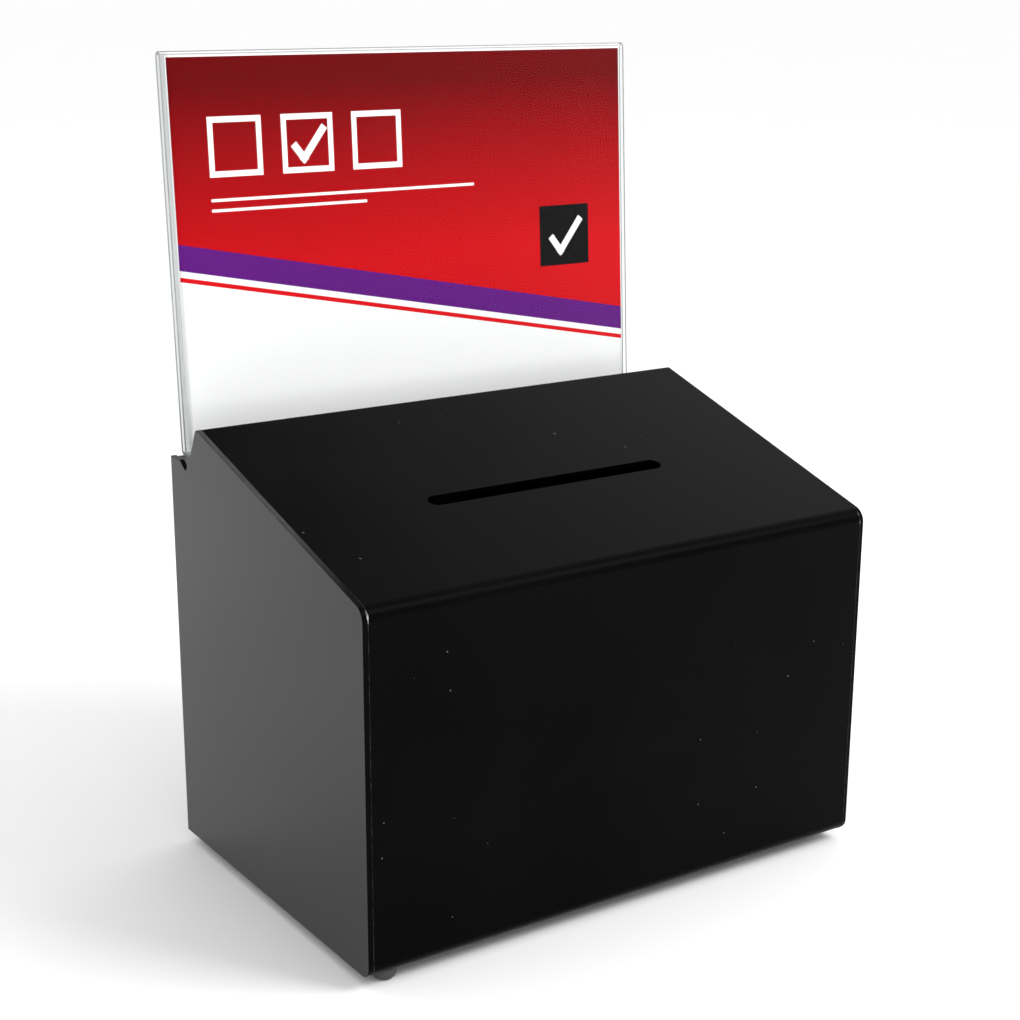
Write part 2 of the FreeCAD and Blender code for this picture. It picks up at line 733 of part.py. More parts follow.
def make_lock_cam():
    """The cam, cranked back towards the door so that its tip turns close behind the fascia."""
    body = new_body("lock_cam")
    start = (-s.cam_back, -cam_face)
    bend = (s.crank_start, -cam_face)
    crank_run = s.crank_step / tangent(s.crank_angle)
    lift = (s.crank_start + crank_run, s.crank_step - cam_face)
    tip = (s.cam_reach, s.crank_step - cam_face)
    upper, lower = bent_sheet([start, bend, lift, tip], [ZERO, s.crank_angle, ZERO], s.cam_thickness)
    section = new_sketch(body, "XY_Plane")
    draw_outline(section, upper + lower[::-1])
    extrude(body, section, s.cam_width, both_ways=True)
    half_wide = s.cam_width / 2
    round_edges(body, 1, [(-s.cam_back, -half_wide), (-s.cam_back, half_wide), (s.cam_reach, -half_wide),
                          (s.cam_reach, half_wide)], s.cam_tip_radius)
    hole = new_sketch(body, "XZ_Plane", cam_face)
    half_hole = s.tail_width / 2 + s.tail_fit
    draw_rectangle(hole, (-half_hole, -half_hole), (half_hole, half_hole))
    cut(body, hole, (s.cam_thickness + s.cut_overrun) * 2)
    place_in_lock(body)
    return keep(body)


def make_cam_fasteners():
    """The washer and the screw that hold the cam on the plug's tail."""
    washer = new_body("cam_washer")
    ring = new_sketch(washer, "XZ_Plane", cam_back_face)
    draw_circle(ring, (ZERO, ZERO), s.cam_washer_radius)
    draw_circle(ring, (ZERO, ZERO), s.cam_screw_radius + s.cam_screw_fit)
    extrude(washer, ring, s.cam_washer_thickness)
    place_in_lock(keep(washer))
    length = s.cam_washer_thickness + s.cam_screw_grip - s.cam_gap
    screw = make_screw("cam_screw", "Y_Axis", length, s.cam_screw_radius, s.cam_screw_head_radius,
                       s.cam_screw_head_height, s.cam_screw_head_rounding)
    place(screw, ZERO, s.box_depth / 2 - cam_back_face - s.cam_washer_thickness, lock_height)
    keep(screw)


def make_key():
    """A flat key with a notched blade, a shoulder and a rounded bow with a hole, lying level in the plug."""
    body = new_body("key")
    face = s.flange_thickness + s.key_face_gap
    blade_end = s.flange_thickness - s.key_blade_length
    half_blade = s.key_blade_width / 2
    half_shoulder = s.key_shoulder_width / 2
    half_bow = s.key_bow_width / 2
    bow_start = face + s.key_shoulder_length
    bow_end = bow_start + s.key_bow_length
    outline = new_sketch(body, "XY_Plane")
    right_side = [(half_blade, blade_end), (half_blade, face), (half_shoulder, face),
                  (half_shoulder, bow_start), (half_bow, bow_start), (half_bow, bow_end)]
    left_side = [(-x, y) for x, y in right_side[::-1]]
    draw_outline(outline, right_side + left_side)
    extrude(body, outline, s.key_thickness, both_ways=True)
    round_edges(body, 2, [(half_bow, bow_start), (half_bow, bow_end), (-half_bow, bow_start),
                          (-half_bow, bow_end)], s.key_bow_radius)
    hole = new_sketch(body, "XY_Plane")
    draw_circle(hole, (ZERO, bow_end - s.key_hole_margin), s.key_hole_radius)
    cut(body, hole, s.key_thickness + s.cut_overrun)
    notch = new_sketch(body, "XY_Plane")
    first = blade_end + s.notch_start
    draw_outline(notch, [(half_blade, first - s.notch_width / 2), (half_blade - s.notch_depth, first),
                         (half_blade, first + s.notch_width / 2)])
    first_notch = cut(body, notch, s.key_thickness + s.cut_overrun)
    notches = body.newObject("PartDesign::LinearPattern", "Notches")
    notches.Originals = [first_notch]
    notches.Direction = (origin_part(body, "Y_Axis"), [""])
    bind(notches, "Length", s.notch_pitch * (NOTCH_COUNT - 1))
    notches.Occurrences = NOTCH_COUNT
    body.Tip = notches
    place_in_lock(body)
    return keep(body)


# The holder leans back: its leaves rise along one heading, and lie behind each other along another.

leaf_up = QUARTER_TURN - s.holder_lean_angle
leaf_back = -s.holder_lean_angle
holder_heel = (s.box_depth - s.holder_setback, s.ledge_height + s.seat_gap)
card_foot = s.holder_thickness + s.card_seat_gap


def make_header_holder():
    """Front leaf, fold, back leaf, sole on the ledge and tongue in the slit, bent from one clear sheet."""
    body = new_body("header_holder")
    sleeve = s.holder_thickness * 2 + s.sleeve_gap
    height = card_foot + s.card_height + s.card_headroom + s.holder_thickness
    top_back = step(holder_heel, leaf_up, height)
    top_front = step(top_back, leaf_back, -sleeve)
    front_end = step(step(holder_heel, leaf_back, -sleeve), leaf_up, s.holder_thickness + s.front_leaf_gap)
    tongue_bend = (ledge_front[0], holder_heel[1])
    tongue_end = step(tongue_bend, s.slit_angle, -s.tongue_length)
    headings = [leaf_up, leaf_back, leaf_up - HALF_TURN, -HALF_TURN, s.slit_angle - HALF_TURN]
    path = [front_end, top_front, top_back, holder_heel, tongue_bend, tongue_end]
    outside, inside = bent_sheet(path, headings, s.holder_thickness)
    section = new_sketch(body, "YZ_Plane")
    draw_outline(section, outside + inside[::-1])
    extrude(body, section, s.holder_width, both_ways=True)
    round_edges(body, 0, outside[1:3], s.fold_radius)
    round_edges(body, 0, inside[1:3], s.fold_radius - s.holder_thickness)
    round_edges(body, 0, [outside[3]], s.sole_bend_radius)
    round_edges(body, 0, [inside[3]], s.sole_bend_radius - s.holder_thickness)
    round_edges(body, 0, [outside[4]], s.tongue_bend_radius)
    round_edges(body, 0, [inside[4]], s.tongue_bend_radius + s.holder_thickness)
    place_in_box(body, s.holder_shift)
    return keep(body)


def make_header_card():
    """The card, upright between the holder's leaves."""
    card = doc.addObject("Part::Box", "header_card")
    card.Label = "header_card"
    bind(card, "Length", s.card_width)
    bind(card, "Width", s.card_thickness)
    bind(card, "Height", s.card_height)
    inset = s.holder_thickness + (s.sleeve_gap + s.card_thickness) / 2
    y, z = step(step(holder_heel, leaf_back, -inset), leaf_up, card_foot)
    card.Placement = FreeCAD.Placement(FreeCAD.Vector(), FreeCAD.Rotation(FreeCAD.Vector(1, 0, 0), 1))
    bind(card, "Placement.Rotation.Angle", -s.holder_lean_angle)
    place(card, s.holder_shift + s.card_offset - s.card_width / 2, y - s.box_depth / 2, z)
    return keep(card)


def build():
    make_wrap_sheet()
    make_side_panel("left_side_panel", -1)
    make_side_panel("right_side_panel", 1)
    make_header_rail()
    foot_y = s.box_depth / 2 - s.foot_end_inset
    make_foot("foot_front_left", -1, -foot_y)
    make_foot("foot_front_right", 1, s.foot_stray - foot_y)
    make_foot("foot_rear_left", -1, foot_y)
    make_foot("foot_rear_right", 1, foot_y)
    make_rear_door()
    make_hinge("left", -1)
    make_hinge("right", 1)
    make_hinge_fasteners()
    make_lock_housing()
    make_lock_washer()
    make_lock_nut()
    make_lock_plug()
    make_lock_cam()
    make_cam_fasteners()
    make_key()
    make_header_holder()
    make_header_card()
    doc.recompute()


def write_pieces():
    """Check the whole model, and only then write one file for each piece."""
    for item in doc.Objects:
        if "Invalid" in item.State or "Error" in item.State:
            raise RuntimeError(f"{item.Label} did not build")
    for piece in pieces:
        if piece.Shape.isNull() or not piece.Shape.isValid():
            raise RuntimeError(f"{piece.Label} has no sound shape")
    os.makedirs("parts", exist_ok=True)
    for piece in pieces:
        piece.Shape.exportStep(f"parts/{piece.Label}.step")


build()
write_pieces()
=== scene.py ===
import math

import bpy
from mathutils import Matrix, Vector


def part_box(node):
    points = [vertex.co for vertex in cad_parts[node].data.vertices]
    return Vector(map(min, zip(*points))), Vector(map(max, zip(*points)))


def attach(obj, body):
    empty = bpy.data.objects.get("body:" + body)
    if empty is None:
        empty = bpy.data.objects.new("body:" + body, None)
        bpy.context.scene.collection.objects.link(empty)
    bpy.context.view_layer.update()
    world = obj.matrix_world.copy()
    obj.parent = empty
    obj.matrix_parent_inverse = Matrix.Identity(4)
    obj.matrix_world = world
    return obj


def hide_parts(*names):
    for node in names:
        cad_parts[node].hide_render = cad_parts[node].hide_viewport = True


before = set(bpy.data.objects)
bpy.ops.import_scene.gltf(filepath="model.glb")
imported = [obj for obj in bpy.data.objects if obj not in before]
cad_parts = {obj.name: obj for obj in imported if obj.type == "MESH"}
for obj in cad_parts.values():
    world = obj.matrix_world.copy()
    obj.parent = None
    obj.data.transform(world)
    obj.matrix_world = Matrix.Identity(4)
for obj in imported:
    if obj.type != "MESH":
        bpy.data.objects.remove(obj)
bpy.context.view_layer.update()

scene = bpy.context.scene
MM = 0.001

# Sizes of the small turned pieces, in millimetres
HINGE_SCREW = {"head_radius": 2.75, "head_height": 1.8, "radius": 1.5, "length": 7.0, "pitch": 0.5}
CAM_SCREW = {"head_radius": 3.4, "head_height": 2.2, "radius": 1.5, "length": 5.6, "pitch": 0.5}
THREAD_ROOT_SHARE = 0.86
HOUSING_RADIUS = 9.5
HOUSING_LENGTH = 15.3
HOUSING_FLAT = 8.0
HOUSING_PITCH = 1.0
HOUSING_NECK = 3.3
FLANGE_RADIUS = 11.5
FLANGE_THICKNESS = 2.5
FLANGE_ROUNDING = 0.8
PLUG_BORE = 6.05
PLUG_HEAD_BORE = 7.25
PLUG_HEAD_DEPTH = 1.6
NUT_FIT = 0.05
HINGE_NUT = {"width": 5.5, "thickness": 2.4, "bore": HINGE_SCREW["radius"] + NUT_FIT}
LOCK_NUT = {"width": 24.0, "thickness": 3.2, "bore": HOUSING_RADIUS + NUT_FIT}
KEY_GROOVE = {"left": -0.9, "right": 0.5, "end": 112.5, "depth": 0.35}

# Where the small pieces sit, in millimetres
HINGE_MIDDLE = 95
HINGE_HOLE_REACH = 10
BASE_HOLE_Y = 97.05
BASE_HEAD_Z = 5.5
BASE_NUT_Z = 9.5
DOOR_HOLE_Z = 15.2
DOOR_HEAD_Y = 106.75
DOOR_NUT_Y = 100.35
LOCK_Z = 186
FLANGE_Y = 105.75
LOCK_NUT_Y = 98.75
CAM_SCREW_Y = 87.45

# How wide the sharp edges are broken, in millimetres
SHEET_EDGE = 0.3
PANEL_EDGE = {"left": 0.3, "right": 0.7}
FOOT_EDGE = 0.2
LEAF_EDGE = 0.15
PIN_EDGE = 0.1
WASHER_EDGE = 0.12
PLUG_EDGE = 0.12
CAM_EDGE = 0.2
KEY_EDGE = 0.15
HOLDER_EDGE = 0.15
CARD_EDGE = 0.05

# The outside of the box seen from its end, in millimetres and degrees: the slope and a start and an end on it in
# Y and Z, the centres of the bends, the front bend's radius, and the front of the side panels' slits
SLOPE = 16.374
SLOPE_RUN = (-62.0, 212.364, -99.646, 201.302)
FRONT_BEND = (-97.25, 193.147)
BASE_BEND = (-98.75, 13.5)
BEND_RADIUS = 8.5
SLIT_FRONT = 85.0

# The welded seams, in millimetres: their place across the box, the bead's radius, its start as a share of that, its
# lumps as degrees round the front bend and growth, how far above the bend's centre the painted glint on the cement
# sits, and the distances from there at which the painted glint has faded out and is still fully white
SEAM = 157.0
BEAD_RADIUS = 0.22
BEAD_START = 0.1
BEAD_LUMPS = ((57.3, 2.0), (65.4, 2.6), (73.6, 1.7))
GLINT_RISE = 3.0
GLINT_SPREAD = (3.5, 1.0)

# Where finishes and painted light change, in metres: the painted light on the scraped edge from black to grey in Y,
# the top of the holder's fold, painted with shade, in Z, its left end from clear to painted grey shade in X, and its
# lower part from light to painted dark shade in Z; and how far the pattern of the dust is moved
PAINTED_EDGE_LIGHT_RUN = (-0.092, -0.02)
FOLD_HEIGHT = 0.44
PAINTED_SHADE_LEFT_END_RUN = (-0.1488, -0.1504)
PAINTED_SHADE_CLEAR_LOW_RUN = (0.34, 0.24)
PAINTED_SHADE_SAWN_LOW_RUN = (0.30, 0.24)
DUST_SHIFT = (0.003, 0, 0)

# How far the holder leans back, in radians
HOLDER_LEAN = math.radians(3.1)

# The card's design, in millimetres from its lower left corner: runs and bands as a start and an end, rules as a height
# and a width, and the badge as its left, its bottom and its side
CARD_SIZE = (297, 210)
CARD_RIM = 0.8
BAND_SLANT = 0.2
RED_FADE = (95, 195)
PURPLE_BAND = (98, 112)
RED_LINE = (92, 94.5)
BOX_LEFTS = (22, 66, 110)
BOX_BOTTOM = 146
BOX_SIDE = 32
BOX_LINE = 3.2
TICK_LINE = 4.2
RULES = ((133, 168), (127.5, 96))
RULE_LINE = 1.6
BADGE = (236, 82, 36)

# The studio, in metres, watts and degrees; the ceiling's light is a share of the air's, and it fades in upwards and
# to the left
FLOOR_SIZE = 60
CEILING_LIGHT = 0.2
CEILING_UPWARD = (0.35, 0.6)
CEILING_LEFTWARD = (0.17, -0.25)
LAMP_PLACE = (1.4, -1.6, 2.1)
LAMP_TARGET = (0, 0, 0.2)
LAMP_SIZE = 1.2
LAMPS = (("right_softbox", 10, True), ("right_fill", 36, False))
CAMERA_PLACE = (-0.57597, -0.84819, 0.48583)
CAMERA_TURN = (73.5045, -0.2921, -33.8699)
CAMERA_LENS = 67.706
CAMERA_SENSOR = 36
CAMERA_SHIFT = (-0.0020, 0.0300)

# Places in a side panel's list of finishes
GLOSS_PLACE = 1
EDGE_PLACE = 2


# Modelling

def begin():
    """Leave edit mode and let go of every object."""
    if bpy.context.object and bpy.context.object.mode != "OBJECT":
        bpy.ops.object.mode_set(mode="OBJECT")
    bpy.ops.object.select_all(action="DESELECT")


def pick(*pieces):
    """Select some objects, the first of them active."""
    begin()
    for piece in pieces:
        piece.select_set(True)
    bpy.context.view_layer.objects.active = pieces[0]


def choose(piece, faces=None, edges=None):
    """Go to edit mode with only the faces or the edges selected that pass a test of their place."""
    pick(piece)
    bpy.ops.object.mode_set(mode="EDIT")
    bpy.ops.mesh.select_mode(type="FACE" if faces else "EDGE")
    bpy.ops.mesh.select_all(action="DESELECT")
    bpy.ops.object.mode_set(mode="OBJECT")
    mesh = piece.data
    if faces:
        for face in mesh.polygons:
            face.select = faces(face.center, face.normal)
    else:
        for edge in mesh.edges:
            edge.select = edges(*(mesh.vertices[end].co for end in edge.vertices))
    bpy.ops.object.mode_set(mode="EDIT")


def add_cylinder(name, radius, bottom, top, sides):
    """An upright cylinder about the Z axis between two heights, in millimetres."""
    begin()
    bpy.ops.mesh.primitive_cylinder_add(vertices=sides, radius=radius * MM, depth=(top - bottom) * MM,
                                        location=(0, 0, (top + bottom) / 2 * MM))
    piece = bpy.context.object
    piece.name = name
    bpy.ops.object.transform_apply(location=True, rotation=True, scale=True)
    return piece


def add_block(name, low, high):
    """A block between two corners, in millimetres."""
    begin()
    middle = [(a + b) / 2 * MM for a, b in zip(low, high)]
    bpy.ops.mesh.primitive_cube_add(size=1, location=middle, scale=[(b - a) * MM for a, b in zip(low, high)])
    piece = bpy.context.object
    piece.name = name
    bpy.ops.object.transform_apply(location=True, rotation=True, scale=True)
    return piece


def combine(piece, tool, operation="DIFFERENCE"):
    """Cut a piece with a tool, or keep only what both share, and throw the tool away."""
    pick(piece)
    cut = piece.modifiers.new("cut", "BOOLEAN")
    cut.operation = operation
    cut.solver = "EXACT"
    cut.object = tool
    bpy.ops.object.modifier_apply(modifier=cut.name)
    bpy.data.objects.remove(tool)


def break_edges(piece, width, segments=2, angle=30, leave=None):
    """Break the sharp edges of a piece, as a scraper does, but for those that are left as they are."""
    pick(piece)
    bpy.ops.object.mode_set(mode="EDIT")
    bpy.ops.mesh.select_mode(type="EDGE")
    bpy.ops.mesh.select_all(action="DESELECT")
    bpy.ops.mesh.edges_select_sharp(sharpness=math.radians(angle))
    bpy.ops.object.mode_set(mode="OBJECT")
    if leave:
        mesh = piece.data
        for edge in mesh.edges:
            edge.select = edge.select and not leave(*(mesh.vertices[end].co for end in edge.vertices))
    bevel = piece.modifiers.new("broken_edges", "BEVEL")
    bevel.width = width * MM
    bevel.segments = segments
    bevel.limit_method = "WEIGHT"
    weights = piece.data.attributes.new("bevel_weight_edge", "FLOAT", "EDGE")
    weights.data.foreach_set("value", [float(edge.select) for edge in piece.data.edges])
    bpy.ops.object.modifier_apply(modifier=bevel.name)
    piece.data.attributes.remove(piece.data.attributes["bevel_weight_edge"])


def smooth(piece, angle=35):
    """Shade rounds as rounds, with the large faces kept flat."""
    pick(piece)
    bpy.ops.object.shade_smooth_by_angle(angle=math.radians(angle))
    weights = piece.modifiers.new("flat_faces", "WEIGHTED_NORMAL")
    weights.keep_sharp = True
    bpy.ops.object.modifier_apply(modifier=weights.name)


def work_copy(node, name):
    """A copy of a solid's mesh as one joined skin with whole flat faces."""
    piece = bpy.data.objects.new(name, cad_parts[node].data.copy())
    scene.collection.objects.link(piece)
    pick(piece)
    bpy.ops.object.mode_set(mode="EDIT")
    bpy.ops.mesh.select_all(action="SELECT")
    bpy.ops.mesh.remove_doubles(threshold=0.01 * MM)
    bpy.ops.mesh.dissolve_limited(angle_limit=math.radians(0.5))
    bpy.ops.object.mode_set(mode="OBJECT")
    return piece


def stand_for(piece, node, body):
    """Let a finished piece take a solid's place on its body."""
    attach(piece, body)
    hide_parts(node)


def finish_edges(node, name, body, width, segments=2, leave=None):
    """The visible piece for a solid: the same shape with its sharp edges broken."""
    piece = work_copy(node, name)
    break_edges(piece, width, segments, leave=leave)
    smooth(piece)
    stand_for(piece, node, body)
    return piece


def set_in_place(master, name, turn, places):
    """Copies of a small piece, turned about X and set at their places, as one piece."""
    copies = []
    for spot in places:
        copy = bpy.data.objects.new(name, master.data.copy())
        scene.collection.objects.link(copy)
        copy.rotation_euler = (math.radians(turn), 0, 0)
        copy.location = [part * MM for part in spot]
        copies.append(copy)
    pick(*copies)
    bpy.ops.object.transform_apply(location=True, rotation=True, scale=True)
    if len(copies) > 1:
        bpy.ops.object.join()
    bpy.data.objects.remove(master)
    smooth(copies[0])
    return copies[0]


def cut_thread(radius, start, end, pitch):
    """Draw the selected round face down into a stem with a ridge for each turn of a thread."""
    height = start
    root = radius * THREAD_ROOT_SHARE
    for _ in range(int((start - end) / pitch)):
        for grown in (root / radius, radius / root):
            height -= pitch / 2
            bpy.ops.mesh.extrude_region_move(TRANSFORM_OT_translate={"value": (0, 0, -pitch / 2 * MM)})
            bpy.ops.transform.resize(value=(grown, grown, 1), center_override=(0, 0, height * MM))


def turn_screw(name, head_radius, head_height, radius, length, pitch):
    """A pan head with a cross recess on a threaded stem, the head up."""
    screw = add_cylinder(name, head_radius, 0, head_height, 40)
    choose(screw, edges=lambda a, b: min(a.z, b.z) > 0.9 * head_height * MM)
    bpy.ops.mesh.bevel(offset=0.5 * head_height * MM, segments=4, affect="EDGES")
    choose(screw, faces=lambda centre, normal: normal.z < -0.9)
    bpy.ops.mesh.inset(thickness=(head_radius - radius) * MM)
    cut_thread(radius, 0, -length, pitch)
    bpy.ops.object.mode_set(mode="OBJECT")
    long, wide, deep = 0.62 * head_radius, 0.15 * head_radius, 0.6 * head_height
    for span, breadth in ((long, wide), (wide, long)):
        blade = add_block("blade", (-span, -breadth, head_height - deep), (span, breadth, head_height + deep))
        choose(blade, faces=lambda centre, normal: normal.z < -0.9)
        bpy.ops.transform.resize(value=(0.6, 0.6, 1), center_override=(0, 0, 0))
        bpy.ops.object.mode_set(mode="OBJECT")
        combine(screw, blade)
    return screw


def cut_nut(name, width, thickness, bore):
    """A hexagon nut with turned-down corners and a chamfered bore, lying on its face."""
    corner = width / math.sqrt(3)
    nut = add_cylinder(name, corner, 0, thickness, 6)
    blank = add_cylinder("blank", corner, 0, thickness, 72)
    choose(blank, edges=lambda a, b: abs(a.z - b.z) < 0.01 * MM)
    bpy.ops.mesh.bevel(offset=0.55 * (corner - width / 2) * MM, segments=1, affect="EDGES")
    bpy.ops.object.mode_set(mode="OBJECT")
    combine(nut, blank, "INTERSECT")
    combine(nut, add_cylinder("drill", bore, -thickness, 2 * thickness, 48))
    break_edges(nut, 0.03 * width, 1, 50)
    return nut


# Finishes

def srgb(code):
    """A screen colour written as six hexadecimal digits, as light."""
    parts = [int(code[i:i + 2], 16) / 255 for i in (0, 2, 4)]
    light = [part / 12.92 if part <= 0.04045 else ((part + 0.055) / 1.055) ** 2.4 for part in parts]
    return (*light, 1.0)


class Network:
    """Nodes that work out a colour or a value from a place or a direction."""

    def __init__(self, tree, coordinate):
        self.tree = tree
        self.where = self.add("ShaderNodeTexCoord").outputs[coordinate]

    def feed(self, socket, value):
        """Link a socket to another one, or set it to a plain value."""
        if isinstance(value, bpy.types.NodeSocket):
            self.tree.links.new(value, socket)
        else:
            socket.default_value = value

    def add(self, kind, inputs=None, **settings):
        """A new node with its settings made and its inputs fed."""
        node = self.tree.nodes.new(kind)
        for name, value in settings.items():
            setattr(node, name, value)
        for name, value in (inputs or {}).items():
            self.feed(node.inputs[name], value)
        return node

    def reckon(self, operation, first, second=0.0, third=0.0):
        """The result of one sum on up to three values."""
        node = self.add("ShaderNodeMath", {0: first, 1: second, 2: third}, operation=operation)
        return node.outputs["Value"]

    def along(self, direction, start=(0, 0, 0)):
        """How far a point lies from a start along a direction."""
        offset = self.add("ShaderNodeVectorMath", {0: self.where, 1: start}, operation="SUBTRACT")
        node = self.add("ShaderNodeVectorMath", {0: offset.outputs["Vector"], 1: direction},
                        operation="DOT_PRODUCT")
        return node.outputs["Value"]

    def noise(self, scale, detail=2.0, stretch=(1, 1, 1)):
        """Soft irregular grain, about 0.5 on the whole."""
        spread = self.add("ShaderNodeMapping", {"Vector": self.where, "Scale": stretch})
        node = self.add("ShaderNodeTexNoise", {"Vector": spread.outputs["Vector"], "Scale": scale,
                                               "Detail": detail})
        return node.outputs["Fac"]

    def level(self, value, low, high, least=0.0, most=1.0):
        """Map a value from one range to another, clamped."""
        node = self.add("ShaderNodeMapRange", {"Value": value, "From Min": low, "From Max": high,
                                               "To Min": least, "To Max": most})
        return node.outputs["Result"]

    def mix(self, share, first, second):
        """A colour between two colours."""
        node = self.add("ShaderNodeMix", {0: share, 6: first, 7: second}, data_type="RGBA")
        return node.outputs[2]


class Finish(Network):
    """The finish of one kind of surface, built from nodes on the piece's own coordinates."""

    def __init__(self, name):
        self.material = bpy.data.materials.new(name)
        self.material.use_nodes = True
        super().__init__(self.material.node_tree, "Object")
        self.shader = self.tree.nodes["Principled BSDF"]

    def set(self, **inputs):
        """Set or link sockets of the surface by their names with underscores."""
        for name, value in inputs.items():
            self.feed(self.shader.inputs[name.replace("_", " ")], value)

    def facing(self, direction):
        """How squarely the surface faces a direction, from -1 to 1."""
        normal = self.add("ShaderNodeTexCoord").outputs["Normal"]
        node = self.add("ShaderNodeVectorMath", {0: normal, 1: direction}, operation="DOT_PRODUCT")
        return node.outputs["Value"]

    def bump(self, height, strength, depth):
        """Let a value raise and sink the surface a little."""
        node = self.add("ShaderNodeBump", {"Height": height, "Strength": strength, "Distance": depth})
        self.feed(self.shader.inputs["Normal"], node.outputs["Normal"])


def dust(finish, share, spacing, size):
    """Where specks of dust lie: one small dot in some of the cells of a loose grid over every side."""
    flat = finish.add("ShaderNodeCombineXYZ", {"X": finish.along((1, 0.6, 0), DUST_SHIFT),
                                               "Y": finish.along((0, -1, 1))})
    cells = finish.add("ShaderNodeTexVoronoi", {"Vector": flat.outputs["Vector"], "Scale": 1 / spacing},
                       voronoi_dimensions="2D")
    chance = finish.add("ShaderNodeSeparateColor", {"Color": cells.outputs["Color"]})
    reach = finish.reckon("MULTIPLY", chance.outputs["Green"], 1.6 * size / spacing)
    near = finish.reckon("LESS_THAN", cells.outputs["Distance"], reach)
    chosen = finish.reckon("LESS_THAN", chance.outputs["Red"], share)
    return finish.reckon("MULTIPLY", near, chosen)


def polished_acrylic():
    """Polished black sheet: nearly no colour, a faint haze from wiping and a few specks of dust."""
    finish = Finish("polished_acrylic")
    haze = finish.noise(9.0, 4.0)
    wipe = finish.noise(60.0, 3.0, (1, 0.12, 1))
    specks = dust(finish, 0.2, 0.02, 0.00032)
    black = finish.mix(finish.level(haze, 0.35, 0.7), srgb("000000"), srgb("030303"))
    finish.set(Base_Color=finish.mix(specks, black, srgb("58585a")))
    gloss = finish.level(haze, 0.3, 0.75, 0.2, 0.3)
    gloss = finish.reckon("MULTIPLY_ADD", wipe, 0.06, gloss)
    finish.set(Roughness=finish.reckon("MULTIPLY_ADD", specks, 0.4, gloss))
    finish.set(Specular_IOR_Level=0.038, IOR=1.49)
    finish.bump(finish.noise(700.0, 2.0), 0.02, 0.0002)
    return finish.material


def satin_acrylic():
    """Black sheet with a fine satin grain that spreads what it mirrors."""
    finish = Finish("satin_acrylic")
    grain = finish.noise(2600.0, 3.0)
    mottle = finish.noise(900.0, 2.0)
    cloud = finish.noise(7.0, 3.0)
    tone = finish.mix(finish.level(mottle, 0.3, 0.7), srgb("0a0a0a"), srgb("151516"))
    finish.set(Base_Color=finish.mix(dust(finish, 0.1, 0.025, 0.0003), tone, srgb("77777a")))
    finish.set(Roughness=finish.level(cloud, 0.3, 0.7, 0.17, 0.22))
    finish.set(Specular_IOR_Level=0.33, IOR=1.49)
    finish.bump(grain, 0.12, 0.0001)
    return finish.material


def scraped_edge_painted_light():
    """Sawn edge of a black sheet, scraped by hand, with painted light: grey towards the rear, fading to painted shade,
    nearly black, at the front.
    """
    finish = Finish("scraped_edge_painted_light")
    strokes = finish.noise(500.0, 3.0, (1, 0.15, 0.15))
    # Painted light: the edge is grey where lit towards the rear and fades to black painted shade at the front
    painted_rear_light = finish.level(finish.along((0, 1, 0)), *PAINTED_EDGE_LIGHT_RUN)
    grey = finish.mix(finish.level(strokes, 0.3, 0.7), srgb("383838"), srgb("4a4a4a"))
    finish.set(Base_Color=finish.mix(painted_rear_light, srgb("0a0a0a"), grey))
    finish.set(Roughness=finish.level(strokes, 0.3, 0.7, 0.35, 0.5))
    finish.set(Specular_IOR_Level=0.04, IOR=1.49)
    finish.bump(strokes, 0.1, 0.0001)
    return finish.material


def weld_cement_and_painted_glint():
    """Hardened cement over a black seam, with a whitish painted glint a little above the bend and faint painted glints
    along the rest.
    """
    finish = Finish("weld_cement_and_painted_glint")
    lumps = finish.noise(260.0, 3.0)
    above = finish.along((0, 0, 1), (0, 0, (FRONT_BEND[1] + GLINT_RISE) * MM))
    painted_glint_spot = finish.level(finish.reckon("ABSOLUTE", above), *(run * MM for run in GLINT_SPREAD))
    # Painted highlight: whitish glint in the lumps near the bend, faint elsewhere along the bead
    pale = finish.reckon("MULTIPLY", finish.level(lumps, 0.45, 0.62),
                         finish.level(painted_glint_spot, 0.0, 1.0, 0.035, 1.0))
    finish.set(Base_Color=finish.mix(pale, srgb("080808"), srgb("c4c4c4")))
    finish.set(Roughness=finish.level(lumps, 0.3, 0.7, 0.15, 0.35))
    finish.set(Specular_IOR_Level=0.1, IOR=1.47)
    finish.bump(lumps, 0.2, 0.0002)
    return finish.material


def rubber():
    """Soft black rubber with a fine grain."""
    finish = Finish("black_rubber")
    grain = finish.noise(900.0, 4.0)
    finish.set(Base_Color=finish.mix(grain, srgb("343434"), srgb("4c4b4a")))
    finish.set(Roughness=finish.level(grain, 0.3, 0.7, 0.62, 0.8))
    finish.bump(grain, 0.25, 0.0002)
    return finish.material


def brushed_metal(name, dark, light, low, high, stretch, fine=900.0):
    """Metal with streaks along one direction."""
    finish = Finish(name)
    streak = finish.noise(fine, 3.0, stretch)
    cloud = finish.noise(60.0, 3.0)
    shade = finish.reckon("MULTIPLY_ADD", cloud, 0.5, finish.reckon("MULTIPLY", streak, 0.5))
    finish.set(Base_Color=finish.mix(finish.level(shade, 0.3, 0.7), srgb(dark), srgb(light)))
    finish.set(Metallic=1.0)
    finish.set(Roughness=finish.level(streak, 0.3, 0.7, low, high))
    finish.bump(streak, 0.08, 0.00005)
    return finish.material


